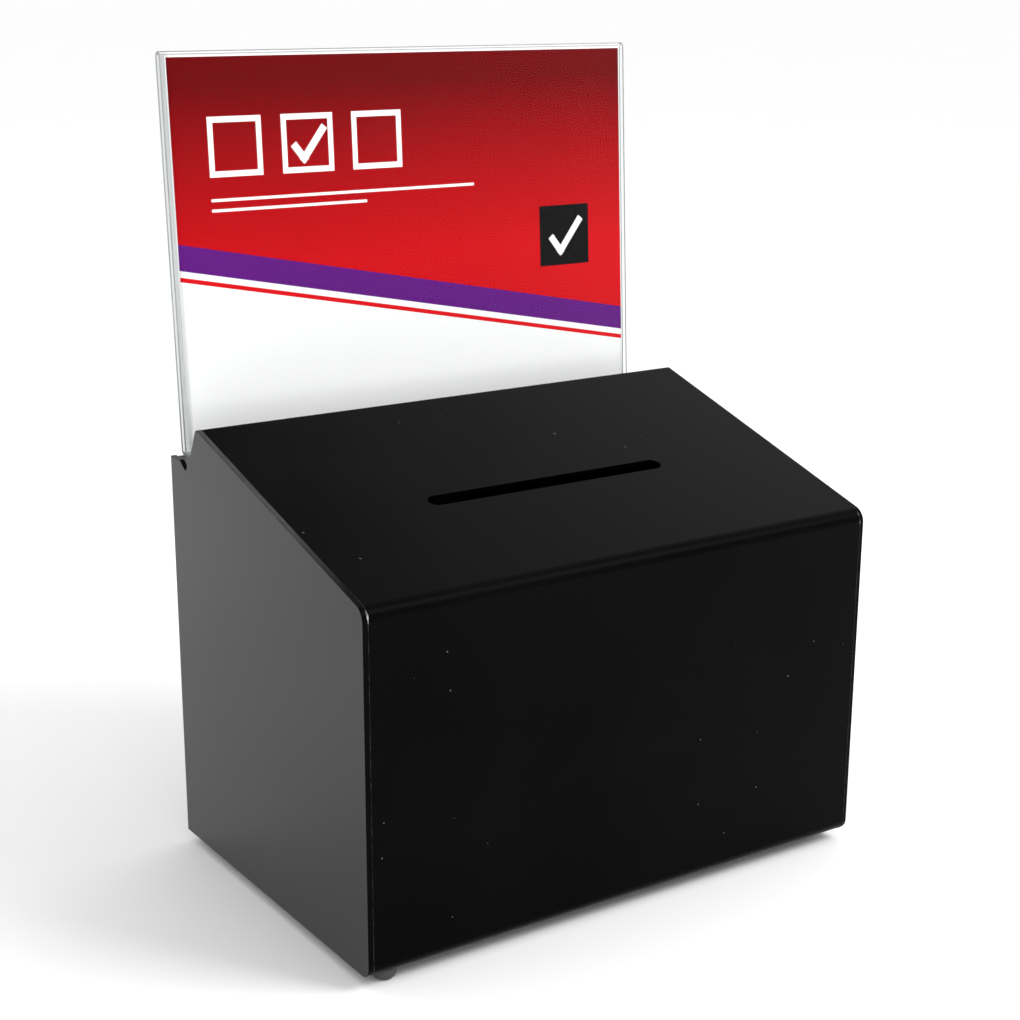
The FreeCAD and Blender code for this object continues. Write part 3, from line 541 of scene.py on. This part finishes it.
def turned_metal(name, dark, light, low, high, centre):
    """Plated metal with the fine rings that turning leaves about an axis along Y."""
    finish = Finish(name)
    offset = finish.add("ShaderNodeVectorMath", {0: finish.where, 1: centre}, operation="SUBTRACT")
    rings = finish.add("ShaderNodeTexWave", {"Vector": offset.outputs["Vector"], "Scale": 900.0,
                                             "Distortion": 0.6, "Detail": 2.0},
                       wave_type="RINGS", rings_direction="Y")
    cloud = finish.noise(120.0, 3.0)
    finish.set(Base_Color=finish.mix(finish.level(cloud, 0.3, 0.7), srgb(dark), srgb(light)))
    finish.set(Metallic=1.0)
    finish.set(Roughness=finish.level(cloud, 0.3, 0.7, low, high))
    finish.bump(rings.outputs["Fac"], 0.05, 0.00003)
    return finish.material


def clear_acrylic():
    """Clear sheet with painted grey shade along the top of its fold and at its left end, darker low down, which lets
    light through to the card behind it.
    """
    finish = Finish("clear_acrylic")
    smear = finish.noise(14.0, 4.0)
    # Painted shade: a dark grey line along the top of the fold, a grey left end, and that end darker low down
    high = finish.reckon("GREATER_THAN", finish.along((0, 0, 1)), FOLD_HEIGHT)
    painted_fold_shade = finish.reckon("MULTIPLY", high, finish.level(finish.facing((0, 0, 1)), 0.7, 0.9))
    end = finish.level(finish.along((1, 0, 0)), *PAINTED_SHADE_LEFT_END_RUN)
    low = finish.level(finish.along((0, 0, 1)), *PAINTED_SHADE_CLEAR_LOW_RUN)
    clear_and_painted_shade = finish.mix(end, srgb("fcfdfd"), finish.mix(low, srgb("e6e8e8"), srgb("d6d8d8")))
    finish.set(Base_Color=finish.mix(painted_fold_shade, clear_and_painted_shade, srgb("545858")))
    finish.set(Roughness=finish.level(smear, 0.4, 0.8, 0.0, 0.03))
    finish.set(Transmission_Weight=1.0, IOR=1.49, Specular_Tint=(0.02, 0.02, 0.02, 1.0))
    path = finish.add("ShaderNodeLightPath")
    passing = finish.reckon("MAXIMUM", path.outputs["Is Shadow Ray"], path.outputs["Is Diffuse Ray"])
    open_air = finish.add("ShaderNodeBsdfTransparent", {"Color": (0.978, 0.98, 0.979, 1.0)})
    blend = finish.add("ShaderNodeMixShader", {0: passing, 1: finish.shader.outputs["BSDF"],
                                               2: open_air.outputs["BSDF"]})
    finish.feed(finish.tree.nodes["Material Output"].inputs["Surface"], blend.outputs["Shader"])
    return finish.material


def sawn_clear_edge():
    """Sawn ends of the clear sheet, frosted by the blade, with painted shade that makes them a little darker low down.
    """
    finish = Finish("sawn_clear_edge")
    saw = finish.noise(800.0, 3.0, (1, 1, 0.1))
    pale = finish.mix(finish.level(saw, 0.3, 0.7), srgb("8e9292"), srgb("aeb2b2"))
    # Painted shade: the frosted ends grow darker low down
    low = finish.level(finish.along((0, 0, 1)), *PAINTED_SHADE_SAWN_LOW_RUN)
    finish.set(Base_Color=finish.mix(low, pale, srgb("747878")))
    finish.set(Roughness=finish.level(saw, 0.3, 0.7, 0.45, 0.7))
    finish.set(Transmission_Weight=0.2, IOR=1.49, Specular_Tint=(0.2, 0.2, 0.2, 1.0))
    finish.bump(saw, 0.15, 0.0001)
    return finish.material


def printed_card():
    """White card with a grey back: a red field that deepens upwards, a straight purple band and tick boxes."""
    finish = Finish("printed_card")
    low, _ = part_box("header_card")
    across = finish.along((1, 0, 0), (low.x, 0, 0))
    up = finish.along((0, math.sin(HOLDER_LEAN), math.cos(HOLDER_LEAN)), tuple(low))

    def between(value, start, end):
        """1 where a value lies between two lengths, and 0 elsewhere."""
        return finish.reckon("MULTIPLY", finish.reckon("GREATER_THAN", value, start * MM),
                             finish.reckon("LESS_THAN", value, end * MM))

    def block(left, bottom, width, height):
        """A filled rectangle."""
        return finish.reckon("MULTIPLY", between(across, left, left + width),
                             between(up, bottom, bottom + height))

    def outline(left, bottom, side, line):
        """The outline of a square."""
        inner = block(left + line, bottom + line, side - 2 * line, side - 2 * line)
        return finish.reckon("SUBTRACT", block(left, bottom, side, side), inner)

    def stroke(x, y, angle, length, width):
        """A straight pen stroke from a point at an angle."""
        turn = math.radians(angle)
        dx = finish.reckon("SUBTRACT", across, x * MM)
        dy = finish.reckon("SUBTRACT", up, y * MM)
        run = finish.reckon("ADD", finish.reckon("MULTIPLY", dx, math.cos(turn)),
                            finish.reckon("MULTIPLY", dy, math.sin(turn)))
        side = finish.reckon("SUBTRACT", finish.reckon("MULTIPLY", dy, math.cos(turn)),
                             finish.reckon("MULTIPLY", dx, math.sin(turn)))
        return finish.reckon("MULTIPLY", between(run, -width / 2, length), between(side, -width / 2, width / 2))

    def tick(left, bottom, side, width):
        """A tick in a square: a short stroke and a long one from the same foot."""
        foot = (left + 0.42 * side, bottom + 0.24 * side)
        return finish.reckon("MAXIMUM", stroke(*foot, 128, 0.32 * side, width),
                             stroke(*foot, 52, 0.68 * side, width))

    white = srgb("fbfbfb")
    grain = finish.noise(2200.0, 2.0)
    slant = finish.reckon("MULTIPLY_ADD", across, BAND_SLANT, up)
    rise = finish.level(up, *(height * MM for height in RED_FADE))
    red = finish.mix(rise, srgb("d00d16"), srgb("6a0509"))
    red = finish.mix(finish.level(grain, 0.3, 0.75, 0.0, 0.14), red, srgb("3a0205"))
    paper = finish.mix(finish.level(grain, 0.3, 0.7), srgb("fafafa"), srgb("f3f3f2"))
    board = finish.mix(finish.level(finish.noise(900.0, 4.0), 0.35, 0.65), srgb("dfdeda"), srgb("e5e4e0"))
    sheet = finish.mix(finish.reckon("GREATER_THAN", slant, PURPLE_BAND[1] * MM), paper, red)
    sheet = finish.mix(between(slant, *PURPLE_BAND), sheet, srgb("5f1a7c"))
    sheet = finish.mix(between(slant, *RED_LINE), sheet, srgb("d8121c"))
    for left in BOX_LEFTS:
        sheet = finish.mix(outline(left, BOX_BOTTOM, BOX_SIDE, BOX_LINE), sheet, white)
    sheet = finish.mix(tick(BOX_LEFTS[1], BOX_BOTTOM, BOX_SIDE, TICK_LINE), sheet, white)
    for bottom, width in RULES:
        sheet = finish.mix(block(BOX_LEFTS[0], bottom, width, RULE_LINE), sheet, white)
    sheet = finish.mix(block(*BADGE, BADGE[2]), sheet, srgb("0c0c0d"))
    sheet = finish.mix(tick(*BADGE, TICK_LINE), sheet, white)
    rim = finish.reckon("MULTIPLY", between(across, CARD_RIM, CARD_SIZE[0] - CARD_RIM),
                        between(up, CARD_RIM, CARD_SIZE[1] - CARD_RIM))
    front = finish.reckon("GREATER_THAN", finish.facing((0, -1, 0)), 0.5)
    finish.set(Base_Color=finish.mix(front, board, finish.mix(rim, paper, sheet)))
    finish.set(Roughness=finish.level(grain, 0.3, 0.7, 0.42, 0.52), Specular_IOR_Level=0.03)
    finish.bump(grain, 0.03, 0.00005)
    return finish.material


def coat(piece, material):
    """Give a piece its finish and its place in the list of finishes."""
    piece.data.materials.clear()
    piece.data.materials.append(material)


# Pieces

def run_bead(name, across):
    """A fine bead of cement along the seam: the end of the slope, round the bend and down the front."""
    begin()
    tilt = math.radians(SLOPE)
    top_y, top_z, low_y, low_z = SLOPE_RUN
    bpy.ops.mesh.primitive_circle_add(vertices=8, radius=BEAD_RADIUS * MM, fill_type="NGON",
                                      location=(across * MM, top_y * MM, top_z * MM),
                                      rotation=(math.pi / 2 + tilt, 0, 0))
    bead = bpy.context.object
    bead.name = name
    bpy.ops.object.transform_apply(location=True, rotation=True, scale=True)
    choose(bead, faces=lambda centre, normal: True)
    down_slope = (0, (low_y - top_y) * MM, (low_z - top_z) * MM)
    bpy.ops.mesh.extrude_region_move(TRANSFORM_OT_translate={"value": down_slope})
    bpy.ops.mesh.spin(steps=9, angle=math.pi / 2 - tilt, axis=(-1, 0, 0),
                      center=(across * MM, FRONT_BEND[0] * MM, FRONT_BEND[1] * MM))
    down_front = (0, 0, (BASE_BEND[1] - FRONT_BEND[1]) * MM)
    bpy.ops.mesh.extrude_region_move(TRANSFORM_OT_translate={"value": down_front})
    bpy.ops.mesh.spin(steps=8, angle=math.pi / 2, axis=(-1, 0, 0),
                      center=(across * MM, BASE_BEND[0] * MM, BASE_BEND[1] * MM))
    bpy.ops.mesh.select_all(action="SELECT")
    bpy.ops.mesh.remove_doubles(threshold=0.001 * MM)
    bpy.ops.mesh.normals_make_consistent(inside=False)
    rings = [((across, top_y, top_z), BEAD_START)]
    for turn, swell in BEAD_LUMPS:
        ring = math.radians(turn)
        rings.append(((across, FRONT_BEND[0] - BEND_RADIUS * math.sin(ring),
                       FRONT_BEND[1] + BEND_RADIUS * math.cos(ring)), swell))
    for place, swell in rings:
        middle = Vector(place) * MM
        reach = 1.5 * BEAD_RADIUS * MM
        choose(bead, edges=lambda a, b: max((a - middle).length, (b - middle).length) < reach)
        bpy.ops.transform.resize(value=(swell, swell, swell), center_override=middle)
    bpy.ops.object.mode_set(mode="OBJECT")
    smooth(bead)
    return bead


def on_seam(start, end):
    """Whether an edge lies in the welded joint of the wrapped sheet and a side panel."""
    return all(abs(abs(spot.x) - SEAM * MM) < 0.01 * MM for spot in (start, end))


def dress_box():
    """The bent sheet, the rail, the door and the side panels, with the seams' beads and the feet."""
    gloss = polished_acrylic()
    satin = satin_acrylic()
    painted_lit_edge = scraped_edge_painted_light()
    coat(finish_edges("wrap_sheet", "wrap_sheet_polished", "box", SHEET_EDGE, leave=on_seam), gloss)
    coat(finish_edges("header_rail", "header_rail_polished", "box", SHEET_EDGE), gloss)
    coat(finish_edges("rear_door", "rear_door_polished", "door", SHEET_EDGE), gloss)
    # The left panel's upper edges get the scraped finish painted grey as lit; the right panel's get polished black as
    # painted shade from the header
    for side, edge in (("left", painted_lit_edge), ("right", gloss)):
        node = f"{side}_side_panel"
        panel = finish_edges(node, f"{node}_satin", "box", PANEL_EDGE[side], 3, on_seam)
        coat(panel, satin)
        panel.data.materials.append(gloss)
        panel.data.materials.append(edge)
        for face in panel.data.polygons:
            in_slit = face.center.y > SLIT_FRONT * MM and 0.3 < abs(face.normal.z) < 0.95
            if in_slit or face.normal.y < -0.5 or face.normal.z < -0.5:
                face.material_index = GLOSS_PLACE
            elif face.normal.z > 0.5:
                face.material_index = EDGE_PLACE
    # The beads carry the cement's finish with its painted glint
    cement = weld_cement_and_painted_glint()
    for side, across in (("left", -SEAM), ("right", SEAM)):
        bead = run_bead(f"seam_bead_{side}", across)
        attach(bead, "box")
        coat(bead, cement)
    soft = rubber()
    for row in ("front", "rear"):
        for side in ("left", "right"):
            node = f"foot_{row}_{side}"
            coat(finish_edges(node, f"{node}_moulded", "box", FOOT_EDGE), soft)


def hinge_places():
    """The middles of the hinge screws across the box, in millimetres."""
    return [side * (HINGE_MIDDLE + end * HINGE_HOLE_REACH) for side in (-1, 1) for end in (-1, 1)]


def dress_hinges():
    """Leaves and pins of both hinges, their screws and nuts, and the lock's washers and cam screw."""
    plate = brushed_metal("hinge_nickel", "8e8d8a", "c9c8c5", 0.22, 0.36, (0.05, 1, 1))
    steel = brushed_metal("pin_steel", "86868a", "bdbdc0", 0.2, 0.3, (0.05, 1, 1))
    zinc = brushed_metal("zinc_plate", "9a9ca0", "d2d4d8", 0.2, 0.36, (1, 1, 1), 500.0)
    for side in ("left", "right"):
        for leaf, body in (("base", "box"), ("door", "door")):
            node = f"hinge_{leaf}_leaf_{side}"
            coat(finish_edges(node, f"{node}_pressed", body, LEAF_EDGE), plate)
        node = f"hinge_pin_{side}"
        coat(finish_edges(node, f"{node}_drawn", "box", PIN_EDGE), steel)
    rows = (("hinge_base_screws", "box", 180, [(x, BASE_HOLE_Y, BASE_HEAD_Z) for x in hinge_places()]),
            ("hinge_door_screws", "door", -90, [(x, DOOR_HEAD_Y, DOOR_HOLE_Z) for x in hinge_places()]))
    for node, body, turn, places in rows:
        screws = set_in_place(turn_screw("screw", **HINGE_SCREW), f"{node}_turned", turn, places)
        stand_for(screws, node, body)
        coat(screws, zinc)
    rows = (("hinge_base_nuts", "box", 0, [(x, BASE_HOLE_Y, BASE_NUT_Z) for x in hinge_places()]),
            ("hinge_door_nuts", "door", -90, [(x, DOOR_NUT_Y, DOOR_HOLE_Z) for x in hinge_places()]))
    for node, body, turn, places in rows:
        nuts = set_in_place(cut_nut("nut", **HINGE_NUT), f"{node}_turned", turn, places)
        stand_for(nuts, node, body)
        coat(nuts, zinc)
    for node, body in (("lock_washer", "door"), ("cam_washer", "lock_core")):
        coat(finish_edges(node, f"{node}_pressed", body, WASHER_EDGE), zinc)
    screw = set_in_place(turn_screw("screw", **CAM_SCREW), "cam_screw_turned", 90, [(0, CAM_SCREW_Y, LOCK_Z)])
    stand_for(screw, "cam_screw", "lock_core")
    coat(screw, zinc)


def turn_lock_housing():
    """The flange, the threaded stem with its two flats, and the stepped bore for the plug."""
    housing = add_cylinder("housing", FLANGE_RADIUS, 0, FLANGE_THICKNESS, 96)
    choose(housing, edges=lambda a, b: min(a.z, b.z) > 0.9 * FLANGE_THICKNESS * MM)
    bpy.ops.mesh.bevel(offset=FLANGE_ROUNDING * MM, segments=4, affect="EDGES")
    choose(housing, faces=lambda centre, normal: normal.z < -0.9)
    bpy.ops.mesh.inset(thickness=(FLANGE_RADIUS - HOUSING_RADIUS) * MM)
    bpy.ops.mesh.extrude_region_move(TRANSFORM_OT_translate={"value": (0, 0, -HOUSING_NECK * MM)})
    cut_thread(HOUSING_RADIUS, -HOUSING_NECK, -HOUSING_LENGTH, HOUSING_PITCH)
    bpy.ops.object.mode_set(mode="OBJECT")
    for side in (-1, 1):
        near, far = sorted((side * HOUSING_FLAT, side * 2 * HOUSING_RADIUS))
        low = (near, -2 * HOUSING_RADIUS, -2 * HOUSING_LENGTH)
        combine(housing, add_block("side", low, (far, 2 * HOUSING_RADIUS, 0)))
    combine(housing, add_cylinder("drill", PLUG_BORE, -2 * HOUSING_LENGTH, HOUSING_LENGTH, 64))
    shelf = FLANGE_THICKNESS - PLUG_HEAD_DEPTH
    combine(housing, add_cylinder("drill", PLUG_HEAD_BORE, shelf, HOUSING_LENGTH, 64))
    return housing


def dress_lock():
    """Housing, nut, plug, cam and key of the lock."""
    centre = (0, FLANGE_Y * MM, LOCK_Z * MM)
    chrome = turned_metal("lock_chrome", "c4c5c8", "e2e3e6", 0.08, 0.16, centre)
    nickel = turned_metal("plug_nickel", "b4b0a8", "d6d3cc", 0.16, 0.26, centre)
    yellow_zinc = brushed_metal("cam_zinc", "9c8a58", "c9b987", 0.26, 0.4, (0.2, 1, 1))
    key_nickel = brushed_metal("key_nickel", "a8a59d", "d4d1ca", 0.18, 0.32, (1, 0.06, 1))
    housing = set_in_place(turn_lock_housing(), "lock_housing_turned", -90, [(0, FLANGE_Y, LOCK_Z)])
    stand_for(housing, "lock_housing", "door")
    coat(housing, chrome)
    nut = set_in_place(cut_nut("nut", **LOCK_NUT), "lock_nut_turned", -90, [(0, LOCK_NUT_Y, LOCK_Z)])
    stand_for(nut, "lock_nut", "door")
    coat(nut, chrome)
    coat(finish_edges("lock_plug", "lock_plug_turned", "lock_core", PLUG_EDGE), nickel)
    coat(finish_edges("lock_cam", "lock_cam_pressed", "lock_core", CAM_EDGE), yellow_zinc)
    key = work_copy("key", "key_cut")
    low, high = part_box("key")
    left, right, end, depth = (KEY_GROOVE[size] for size in ("left", "right", "end", "depth"))
    for top in (low.z / MM, high.z / MM):
        combine(key, add_block("groove", (left, low.y / MM - 1, top - depth), (right, end, top + depth)))
    break_edges(key, KEY_EDGE)
    smooth(key)
    stand_for(key, "key", "door_key")
    coat(key, key_nickel)


def dress_header():
    """The clear holder with its sawn ends, and the card in it; neither is mirrored in the black top."""
    holder = finish_edges("header_holder", "header_holder_clear", "sign_holder", HOLDER_EDGE)
    coat(holder, clear_acrylic())
    holder.data.materials.append(sawn_clear_edge())
    for face in holder.data.polygons:
        face.material_index = int(abs(face.normal.x) > 0.6)
    card = finish_edges("header_card", "header_card_printed", "sign_card", CARD_EDGE, 1)
    coat(card, printed_card())
    for piece in (holder, card):
        piece.visible_glossy = False


# Studio

def lay_floor():
    """A wide plain floor that keeps the shadow."""
    begin()
    bpy.ops.mesh.primitive_plane_add(size=FLOOR_SIZE, location=(0, 0, 0))
    floor = bpy.context.object
    floor.name = "studio_floor"
    finish = Finish("studio_white")
    tone = finish.noise(3.0, 2.0)
    finish.set(Base_Color=finish.mix(tone, srgb("fcfcfc"), srgb("fefefe")))
    finish.set(Roughness=0.9, Specular_IOR_Level=0.0)
    floor.data.materials.append(finish.material)


def hang_lamp(name, power, mirrored):
    """A square soft lamp at the front right, which shows in reflections or not."""
    light = bpy.data.lights.new(name, "AREA")
    light.shape = "RECTANGLE"
    light.size = light.size_y = LAMP_SIZE
    light.energy = power
    lamp = bpy.data.objects.new(name, light)
    scene.collection.objects.link(lamp)
    lamp.location = LAMP_PLACE
    lamp.rotation_euler = (Vector(LAMP_TARGET) - Vector(LAMP_PLACE)).to_track_quat("-Z", "Y").to_euler()
    lamp.visible_glossy = mirrored


def light_studio():
    """White air all round, mirrored with a dark ceiling that fades to a white wall on the right, and soft lamps."""
    world = bpy.data.worlds.new("studio_air")
    world.use_nodes = True
    scene.world = world
    air = Network(world.node_tree, "Generated")
    path = air.add("ShaderNodeLightPath")
    reflected = air.reckon("MULTIPLY", path.outputs["Is Glossy Ray"], path.outputs["Is Reflection Ray"])
    overhead = air.level(air.along((0, 0, 1)), *CEILING_UPWARD)
    leftward = air.level(air.along((1, -1, 0)), *CEILING_LEFTWARD)
    shade = air.reckon("MULTIPLY", reflected, air.reckon("MULTIPLY", overhead, leftward))
    light = world.node_tree.nodes["Background"]
    light.inputs["Color"].default_value = (1, 1, 1, 1)
    air.feed(light.inputs["Strength"], air.level(shade, 0.0, 1.0, 1.0, CEILING_LIGHT))
    for name, power, mirrored in LAMPS:
        hang_lamp(name, power, mirrored)


def set_camera():
    """The camera that was solved from the straight edges of the box and the card."""
    data = bpy.data.cameras.new("camera")
    data.lens = CAMERA_LENS
    data.sensor_width = CAMERA_SENSOR
    data.shift_x, data.shift_y = CAMERA_SHIFT
    camera = bpy.data.objects.new("camera", data)
    scene.collection.objects.link(camera)
    camera.location = CAMERA_PLACE
    camera.rotation_euler = [math.radians(turn) for turn in CAMERA_TURN]
    scene.camera = camera


dress_box()
dress_hinges()
dress_lock()
dress_header()
lay_floor()
light_studio()
set_camera()
scene.view_settings.view_transform = "Standard"
